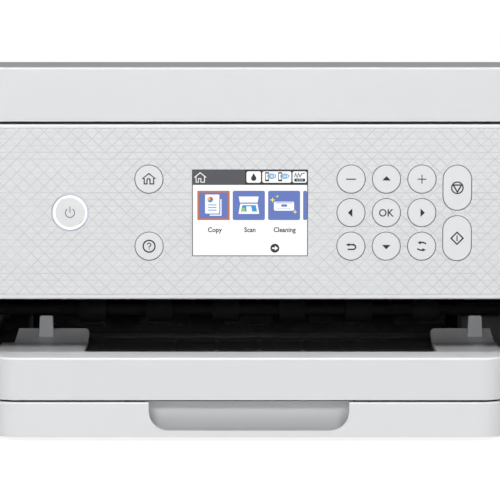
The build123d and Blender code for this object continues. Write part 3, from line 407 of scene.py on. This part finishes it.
class Marks:
    """Thin closed solids on the front of a vertical face, drawn in millimetres of X and Z around a centre."""

    def __init__(self, name, centre, face_y, body, slot, thickness=0.03):
        self.name, self.centre, self.body, self.slot_name = name, centre, body, slot
        self.face_y, self.thickness = face_y, thickness
        self.mesh = bmesh.new()
        self.materials = []

    def slot(self, material):
        """The piece's index for a material, which is added when it is new."""
        if material not in self.materials:
            self.materials.append(material)
        return self.materials.index(material)

    def vertex(self, u, y, v):
        return self.mesh.verts.new(((self.centre[0] + u) * MM, y * MM, (self.centre[1] + v) * MM))

    def rings(self, layer, *outlines):
        """Each outline's vertices at a layer's front and at its back. The lowest layer is sunk a little."""
        front = self.face_y - self.thickness * (layer + 1)
        back = self.face_y + 0.01 if layer == 0 else front + self.thickness
        return [[self.vertex(u, y, v) for u, v in outline] for outline in outlines for y in (front, back)]

    def bands(self, rings, pairs, material):
        """Quads all the way round between pairs of rings."""
        index, count = self.slot(material), len(rings[0])
        for one, other in pairs:
            for i in range(count):
                j = (i + 1) % count
                corners = (rings[one][i], rings[one][j], rings[other][j], rings[other][i])
                self.mesh.faces.new(corners).material_index = index

    def area(self, points, material, layer=0):
        """A filled outline; a higher layer lies in front of a lower one."""
        outline = [p for i, p in enumerate(points) if math.dist(p, points[i - 1]) > 1e-4]
        rings = self.rings(layer, outline)
        for ring in rings:
            self.mesh.faces.new(ring).material_index = self.slot(material)
        self.bands(rings, [(0, 1)], material)

    def line(self, points, width, material, layer=0, closed=False):
        """A stroke of one width along points, with mitred corners."""
        count = len(points)
        left, right = [], []
        for i, point in enumerate(points):
            before = points[(i - 1) % count] if closed or i else None
            after = points[(i + 1) % count] if closed or i < count - 1 else None
            a = (Vector(point) - Vector(before)).normalized() if before else None
            b = (Vector(after) - Vector(point)).normalized() if after else None
            a, b = a or b, b or a
            normal_a, normal_b = Vector((-a.y, a.x)), Vector((-b.y, b.x))
            middle = (normal_a + normal_b).normalized()
            reach = width / 2 / max(0.45, middle.dot(normal_a))  # a sharp corner's mitre is cut short
            left.append(tuple(Vector(point) + middle * reach))
            right.append(tuple(Vector(point) - middle * reach))
        if closed:
            self.bands(self.rings(layer, left, right), [(0, 2), (2, 3), (3, 1), (1, 0)], material)
        else:
            self.area(left + right[::-1], material, layer)

    def words(self, text, centre, height, material, layer=0, squeeze=1.0, weight=0.0):
        """Lettering in the built-in face, centred on a point, with its capitals at one height."""
        curve = bpy.data.curves.new(self.name + "_text", "FONT")
        curve.body = text
        curve.size = height / 0.7
        curve.offset = weight
        curve.resolution_u = 3
        curve.extrude = self.thickness / 2
        holder = bpy.data.objects.new(self.name + "_text", curve)
        mesh = bpy.data.meshes.new_from_object(holder)
        across = [v.co.x for v in mesh.vertices]
        middle = (min(across) + max(across)) / 2
        y = self.face_y - self.thickness * (layer + 0.5)
        made = bmesh.new()
        made.from_mesh(mesh)
        bmesh.ops.remove_doubles(made, verts=made.verts, dist=1e-5)
        index = self.slot(material)
        copies = {}
        for v in made.verts:
            u = (v.co.x - middle) * squeeze + centre[0]
            copies[v] = self.vertex(u, y - v.co.z, v.co.y - height / 2 + centre[1])
        for face in made.faces:
            self.mesh.faces.new([copies[v] for v in face.verts]).material_index = index
        made.free()
        bpy.data.objects.remove(holder)
        bpy.data.curves.remove(curve)
        bpy.data.meshes.remove(mesh)

    def finish(self):
        """Makes the piece, which rides on its body."""
        bmesh.ops.recalc_face_normals(self.mesh, faces=self.mesh.faces)
        data = bpy.data.meshes.new(self.name)
        self.mesh.to_mesh(data)
        self.mesh.free()
        for material in self.materials:
            data.materials.append(material)
        piece = bpy.data.objects.new(self.name, data)
        bpy.context.scene.collection.objects.link(piece)
        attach(piece, self.body)


def arc(centre, radius, start, end, steps=24):
    """Points on an arc, angles in degrees."""
    return [
        (centre[0] + radius * math.cos(math.radians(start + (end - start) * i / steps)),
         centre[1] + radius * math.sin(math.radians(start + (end - start) * i / steps)))
        for i in range(steps + 1)
    ]


def circle(centre, radius, steps=40):
    return arc(centre, radius, 0, 360, steps)[:-1]


def rounded(low, high, radius, steps=5):
    """A rounded rectangle between two corners."""
    (x0, z0), (x1, z1) = low, high
    points = []
    for cx, cz, start in ((x1 - radius, z1 - radius, 0), (x0 + radius, z1 - radius, 90),
                          (x0 + radius, z0 + radius, 180), (x1 - radius, z0 + radius, 270)):
        points += arc((cx, cz), radius, start, start + 90, steps)
    return points


def front_face(node):
    """The centre of a node's front in X and Z, and the front's Y, in millimetres."""
    low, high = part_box(node)
    return ((low.x + high.x) / 2 / MM, (low.z + high.z) / 2 / MM), low.y / MM


def icon(name):
    """Starts the marks of one key."""
    centre, face_y = front_face("key_" + name)
    return Marks("icon_" + name, centre, face_y, "button_" + name, "key_cap")


# signs on the keys
STROKE = 0.7  # the usual line width
minus = icon("minus")
minus.area([(-2.4, -0.28), (2.4, -0.28), (2.4, 0.28), (-2.4, 0.28)], PRINT_GREY)
minus.finish()
plus = icon("plus")
plus.area([(-2.2, -0.24), (-0.24, -0.24), (-0.24, -2.2), (0.24, -2.2), (0.24, -0.24), (2.2, -0.24),
           (2.2, 0.24), (0.24, 0.24), (0.24, 2.2), (-0.24, 2.2), (-0.24, 0.24), (-2.2, 0.24)], PRINT_GREY)
plus.finish()
for direction, turn in (("up", 0), ("left", 90), ("down", 180), ("right", 270)):
    arrow = icon(direction)
    cos, sin = math.cos(math.radians(turn)), math.sin(math.radians(turn))
    outline = [(-2.1, -0.65), (2.1, -0.65), (0.0, 1.55)]
    arrow.area([(u * cos - v * sin, u * sin + v * cos) for u, v in outline], PRINT_GREY)
    arrow.finish()
ok = icon("ok")
ok.words("OK", (0, 0), 3.7, PRINT_GREY, squeeze=0.95, weight=0.06)
ok.finish()
back = icon("back")
back.area([(-2.5, 0.75), (-0.7, 1.6), (-0.7, -0.1)], PRINT_GREY)
hook = [(-0.8, 0.75), (1.2, 0.75), *arc((1.2, -0.4), 1.15, 90, -90, 14), (-1.6, -1.55)]
back.line(hook, STROKE, PRINT_GREY)
back.finish()
repeat = icon("repeat")
repeat.area([(-2.15, 1.75), (-0.45, 2.65), (-0.3, 0.95)], PRINT_GREY)
repeat.line(arc((0.0, -1.6), 3.55, 97, 52, 12), STROKE, PRINT_GREY)
repeat.area([(2.15, -1.75), (0.45, -2.65), (0.3, -0.95)], PRINT_GREY)
repeat.line(arc((0.0, 1.6), 3.55, 277, 232, 12), STROKE, PRINT_GREY)
repeat.finish()
stop = icon("stop")
stop.line(circle((0, 0), 2.85), 0.65, PRINT_GREY, closed=True)
stop.line([(-2.05, 1.35), (2.05, 1.35), (0.0, -2.15)], STROKE, PRINT_GREY, closed=True)
stop.finish()
start = icon("start")
start.line([(0, 3.0), (-3.0, 0), (0, -3.0), (3.0, 0)], 0.68, PRINT_GREY, closed=True)
start.area([(-0.28, -1.4), (0.28, -1.4), (0.28, 1.4), (-0.28, 1.4)], PRINT_GREY)
start.finish()
home = icon("home")
house = [(-3.1, 0.35), (0.0, 2.8), (3.1, 0.35), (2.35, 0.35), (2.35, -2.35), (0.55, -2.35), (0.55, -0.5),
         *arc((-0.2, -0.5), 0.75, 0, 180, 8), (-0.95, -2.35), (-2.35, -2.35), (-2.35, 0.35)]
home.line(house, 0.6, PRINT_GREY, closed=True)
home.finish()
query = icon("help")
query.line(circle((0, 0), 2.95), STROKE, PRINT_GREY, closed=True)
query.line(arc((0, 0.72), 0.85, 180, -55, 14) + [(0, -0.35), (0, -0.72)], 0.5, PRINT_GREY)
query.area(circle((0, -1.5), 0.3, 12), PRINT_GREY)
query.finish()
power = icon("power")
power.line(arc((0, -0.15), 2.3, 125, 415, 32), 0.42, PRINT_SOFT)
power.area([(-0.2, -0.1), (0.2, -0.1), (0.2, 3.0), (-0.2, 3.0)], PRINT_SOFT)
power.finish()

# two thin rings round the power key's light; the outer one, on the film, is painted light, the lamp's tinted
# glow
RING_CENTRE, RING_Y = front_face("power_light_ring")
FILM_Y = front_face("panel_faceplate")[1]
# painted light: the ring light's tinted glow on the film, drawn as ink
bleed = Marks("power_light_rim", RING_CENTRE, FILM_Y, "control_panel", "patterned_skin", thickness=0.02)
bleed.line(circle((0, 0), 9.3, 72), 0.45, ink_print("light_bleed", (0.5, 0.49, 0.62)), closed=True)
bleed.finish()
edge = Marks("power_light_edge", RING_CENTRE, RING_Y, "control_panel", "light_ring", thickness=0.02)
edge.line(circle((0, 0), 8.83, 72), 0.32, ink_print("light_guide_rim", (0.34, 0.33, 0.41)), closed=True)
edge.finish()

# outlines printed on the film round every other key
OUTLINE_INSET = 0.69  # from the edge of a key's hidden flange in to the line's middle, just outside the cap
outlines = Marks("key_outlines", (0.0, 0.0), FILM_Y, "control_panel", "patterned_skin", thickness=0.02)
for node in [name for name in NODES if name.startswith("key_") and name != "key_power"]:
    low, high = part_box(node)
    (x, z), _ = front_face(node)
    radius = (high.x - low.x) / 2 / MM - OUTLINE_INSET
    rise = (high.z - low.z) / 2 / MM - OUTLINE_INSET - radius
    path = arc((x, z + rise), radius, 0, 180, 28) + arc((x, z - rise), radius, 180, 360, 28)
    path = [p for i, p in enumerate(path) if math.dist(p, path[i - 1]) > 0.05]
    outlines.line(path, 0.29, PRINT_GREY, closed=True)
outlines.finish()

# ---------------------------------------------------------------- display picture
SCREEN_W, SCREEN_H = 57.7, 43.2
(screen_x, screen_z), screen_y = front_face("display_module")
LIT = {name: lit("display_" + name, color, 1.0) for name, color in {
    "white": (1.0, 1.0, 1.0),
    "bar": (0.07, 0.07, 0.082),
    "dark": (0.008, 0.008, 0.01),
    "blue": (0.115, 0.18, 0.51),
    "orange": (0.55, 0.15, 0.04),
    "red": (0.6, 0.06, 0.03),
    "amber": (0.85, 0.5, 0.12),
    "sky": (0.03, 0.3, 0.66),
    "pale": (0.45, 0.6, 0.75),
    "lilac": (0.6, 0.63, 0.9),
    "green": (0.3, 0.62, 0.12),
    "yellow": (0.9, 0.85, 0.1),
    "edge": (0.12, 0.12, 0.13),
}.items()}
picture = Marks("display_picture", (screen_x - SCREEN_W / 2, screen_z + SCREEN_H / 2), screen_y,
                "control_panel", "display", thickness=0.012)


def flip(points):
    """Positions on the screen are millimetres from its top left corner, rightwards and downwards."""
    return [(u, -v) for u, v in points]


def tile(low, high, radius, color, layer):
    picture.area(flip(rounded(low, high, radius)), LIT[color], layer)


def stroke(points, width, color, layer, closed=False):
    picture.line(flip(points), width, LIT[color], layer, closed)


def patch(points, color, layer):
    picture.area(flip(points), LIT[color], layer)


def box_points(low, high):
    return [low, (high[0], low[1]), high, (low[0], high[1])]


patch(box_points((0.0, 0.0), (SCREEN_W, SCREEN_H)), "edge", 0)
patch(box_points((0.3, 0.3), (SCREEN_W - 0.3, SCREEN_H - 0.3)), "white", 1)
# status bar: a house, an ink drop, two devices with signal rings, and a trace over three bars
patch(box_points((0.0, 0.1), (26.4, 7.6)), "bar", 2)
patch(box_points((26.4, 0.1), (SCREEN_W, 7.6)), "dark", 2)
stroke([(1.05, 3.9), (4.0, 1.5), (6.95, 3.9)], 0.42, "white", 3)
walls = [(1.9, 3.4), (1.9, 6.2), (3.1, 6.2), (3.1, 4.4), (4.3, 4.4), (4.3, 6.2), (6.1, 6.2), (6.1, 3.4)]
stroke(walls, 0.36, "white", 3)
for left, right in ((27.1, 34.3), (35.0, 49.5), (50.1, 57.2)):
    tile((left, 0.8), (right, 6.5), 0.9, "white", 3)
patch([(30.7, 1.7), *arc((30.7, 4.3), 1.3, -25, 205, 16)], "dark", 4)
for left in (36.4, 42.9):
    tile((left, 1.2), (left + 2.0, 5.8), 0.3, "dark", 4)
    patch(box_points((left + 0.35, 1.9), (left + 1.65, 4.9)), "white", 5)
    for size in (0.7, 1.4):
        oval = [(left + 3.3 + 1.5 * u, 3.2 + 0.8 * v) for u, v in circle((0, 0), size, 12)]
        stroke(oval, 0.42, "sky", 6, closed=True)
needle = [(51.1, 3.6), (51.7, 1.8), (52.4, 3.9), (53.1, 1.7), (53.8, 3.6), (54.7, 2.0), (56.2, 1.6)]
stroke(needle, 0.45, "dark", 4)
tile((51.0, 4.4), (56.4, 5.9), 0.25, "dark", 4)
for bar in range(3):
    patch(box_points((52.1 + 1.2 * bar, 4.85), (52.9 + 1.2 * bar, 5.4)), "pale", 5)

# function tiles, of which the first is selected and the last runs off the screen
tile((2.5, 10.5), (18.7, 25.2), 0.25, "orange", 2)
tile((3.4, 11.4), (17.8, 24.3), 0.15, "blue", 3)
tile((20.2, 10.5), (36.3, 25.2), 0.9, "blue", 2)
tile((37.9, 10.5), (53.9, 25.2), 0.9, "blue", 2)
tile((55.4, 10.5), (57.39, 25.2), 0.8, "blue", 2)
# a copied sheet with a small chart
patch([(14.0, 14.7), (14.6, 14.7), (14.6, 23.0), (8.7, 23.0), (8.7, 22.4), (14.0, 22.4)], "white", 4)
tile((6.4, 12.4), (13.5, 21.9), 0.3, "white", 4)
chart = (8.95, 14.9)
for color, first, last in (("red", -90, 10), ("sky", 10, 150), ("amber", 150, 270)):
    patch([chart, *arc(chart, 1.45, first, last, 10)], color, 5)
for level in (17.6, 18.9, 20.2):
    patch(box_points((7.9, level - 0.22), (12.1, level + 0.22)), "sky", 5)
# an open flatbed
patch([(23.2, 13.4), (33.2, 13.4), (32.6, 16.4), (23.8, 16.4)], "white", 4)
patch([(24.0, 17.0), (32.6, 17.0), (33.5, 22.1), (23.1, 22.1)], "white", 4)
patch([(25.0, 17.7), (31.7, 17.7), (32.4, 20.9), (24.3, 20.9)], "sky", 5)
patch(circle((25.5, 19.9), 0.95, 20), "green", 6)
patch([(27.0, 18.3), (29.4, 18.3), (30.0, 20.8), (27.2, 21.2)], "white", 7)
# a printer being cleaned
tile((40.8, 15.9), (50.9, 20.5), 0.8, "white", 4)
tile((41.6, 15.95), (50.1, 16.9), 0.3, "lilac", 5)
tile((44.5, 17.3), (47.4, 18.5), 0.2, "blue", 5)
stroke([(42.4, 20.0), (43.0, 19.3), (48.6, 19.3), (49.2, 20.0)], 0.3, "pale", 5)
for centre, size in (((40.1, 15.1), 1.45), ((42.5, 13.3), 0.85), ((51.4, 21.1), 1.2)):
    tips, hollows = circle(centre, size, 8)[::2], circle(centre, size * 0.32, 8)[1::2]
    patch([point for pair in zip(tips, hollows) for point in pair], "yellow", 6)
# plain words under the tiles, and a round arrow sign at the bottom
for text, u in (("Copy", 11.3), ("Scan", 28.8), ("Cleaning", 46.2)):
    picture.words(text, (u, -30.0), 2.35, LIT["dark"], 4, 0.95, 0.085)
patch(circle((41.3, 39.3), 2.25), "dark", 2)
pointer = [(39.9, 38.95), (41.3, 38.95), (41.3, 38.1), (42.9, 39.3),
           (41.3, 40.5), (41.3, 39.65), (39.9, 39.65)]
patch(pointer, "white", 3)
picture.finish()

# ---------------------------------------------------------------- floor, light and camera
def studio_floor(half=7.0):
    """A wide plain floor, which looks pale but lights the object from below like a mid grey one."""
    mesh = bpy.data.meshes.new("studio_floor")
    corners = [(-half, -half, 0), (half, -half, 0), (half, half, 0), (-half, half, 0)]
    mesh.from_pydata(corners, [], [(0, 1, 2, 3)])
    finish = Finish("studio_floor", (0.4, 0.4, 0.4), 0.6)
    finish.drive("Roughness", finish.span(finish.noise(30.0), 0.3, 0.7, 0.55, 0.7))
    seen = finish.tree.nodes.new("ShaderNodeLightPath").outputs["Is Camera Ray"]
    finish.drive("Base Color", finish.mix(seen, (0.4, 0.4, 0.4), (0.92, 0.92, 0.92)))
    finish.set("Emission Color", (1.0, 1.0, 1.0, 1.0))
    finish.drive("Emission Strength", finish.math("MULTIPLY", seen, 0.9))
    mesh.materials.append(finish.mat)
    floor = bpy.data.objects.new("studio_floor", mesh)
    bpy.context.scene.collection.objects.link(floor)


def area_light(name, place, target, size, power, mirrored=True):
    """A soft box at a place, turned to a target, that glossy faces mirror unless told otherwise."""
    data = bpy.data.lights.new(name, "AREA")
    data.shape = "RECTANGLE"
    data.size, data.size_y = size
    data.energy = power
    lamp = bpy.data.objects.new(name, data)
    lamp.location = place
    lamp.rotation_mode = "QUATERNION"
    lamp.rotation_quaternion = (Vector(target) - Vector(place)).to_track_quat("-Z", "Y")
    lamp.visible_glossy = mirrored
    bpy.context.scene.collection.objects.link(lamp)


def studio_world():
    """White to the eye; as a light it is dim, and dimmer still behind the object."""
    world = bpy.data.worlds.new("studio")
    bpy.context.scene.world = world
    world.use_nodes = True
    nodes, links = world.node_tree.nodes, world.node_tree.links
    background = nodes["Background"]
    background.inputs["Color"].default_value = (1.0, 1.0, 1.0, 1.0)
    split = nodes.new("ShaderNodeSeparateXYZ")
    links.new(nodes.new("ShaderNodeTexCoord").outputs["Generated"], split.inputs[0])
    dim = nodes.new("ShaderNodeMapRange")
    for socket, value in (("From Min", 0.2), ("From Max", 0.8), ("To Min", 0.24), ("To Max", 0.06)):
        dim.inputs[socket].default_value = value
    links.new(split.outputs["Y"], dim.inputs["Value"])
    choose = nodes.new("ShaderNodeMix")
    links.new(nodes.new("ShaderNodeLightPath").outputs["Is Camera Ray"], choose.inputs[0])
    links.new(dim.outputs[0], choose.inputs[2])
    choose.inputs[3].default_value = 1.0
    links.new(choose.outputs[0], background.inputs["Strength"])


def photo_camera(aim, distance, eye_z, frame_width, sensor=36.0):
    """A camera straight in front of aim, at a height, whose frame is frame_width wide there."""
    data = bpy.data.cameras.new("camera")
    camera = bpy.data.objects.new("camera", data)
    camera.location = (aim.x, aim.y - distance, eye_z)
    camera.rotation_mode = "QUATERNION"
    camera.rotation_quaternion = (aim - camera.location).to_track_quat("-Z", "Y")
    data.sensor_width = sensor
    data.lens = sensor * (aim - camera.location).length / frame_width
    data.clip_start, data.clip_end = 0.05, 50.0
    bpy.context.scene.collection.objects.link(camera)
    bpy.context.scene.camera = camera


studio_floor()
FRONT, BACK = (0.0, -0.14, 0.06), (0.0, 0.1, 0.1)
area_light("key_softbox", (-1.0, -2.2, 1.52), FRONT, (0.9, 0.4), 21.0)
area_light("fill_softbox", (1.25, -2.1, 1.52), FRONT, (0.8, 0.4), 14.0)
area_light("low_softbox", (0.0, -2.2, 0.42), FRONT, (1.2, 0.25), 5.5)
area_light("overhead_softbox", (0.0, -1.15, 1.95), FRONT, (0.9, 0.35), 17.0)
area_light("rear_left_softbox", (-1.7, 1.5, 0.8), BACK, (1.9, 1.4), 19.0, mirrored=False)
area_light("rear_right_softbox", (1.7, 1.5, 0.8), BACK, (1.9, 1.4), 16.0, mirrored=False)
studio_world()
photo_camera(Vector((0.0005, -0.163, 0.0957)), distance=1.30, eye_z=0.1997, frame_width=0.2503)
bpy.context.scene.view_settings.view_transform = "Standard"
bpy.context.scene.cycles.max_bounces = 8
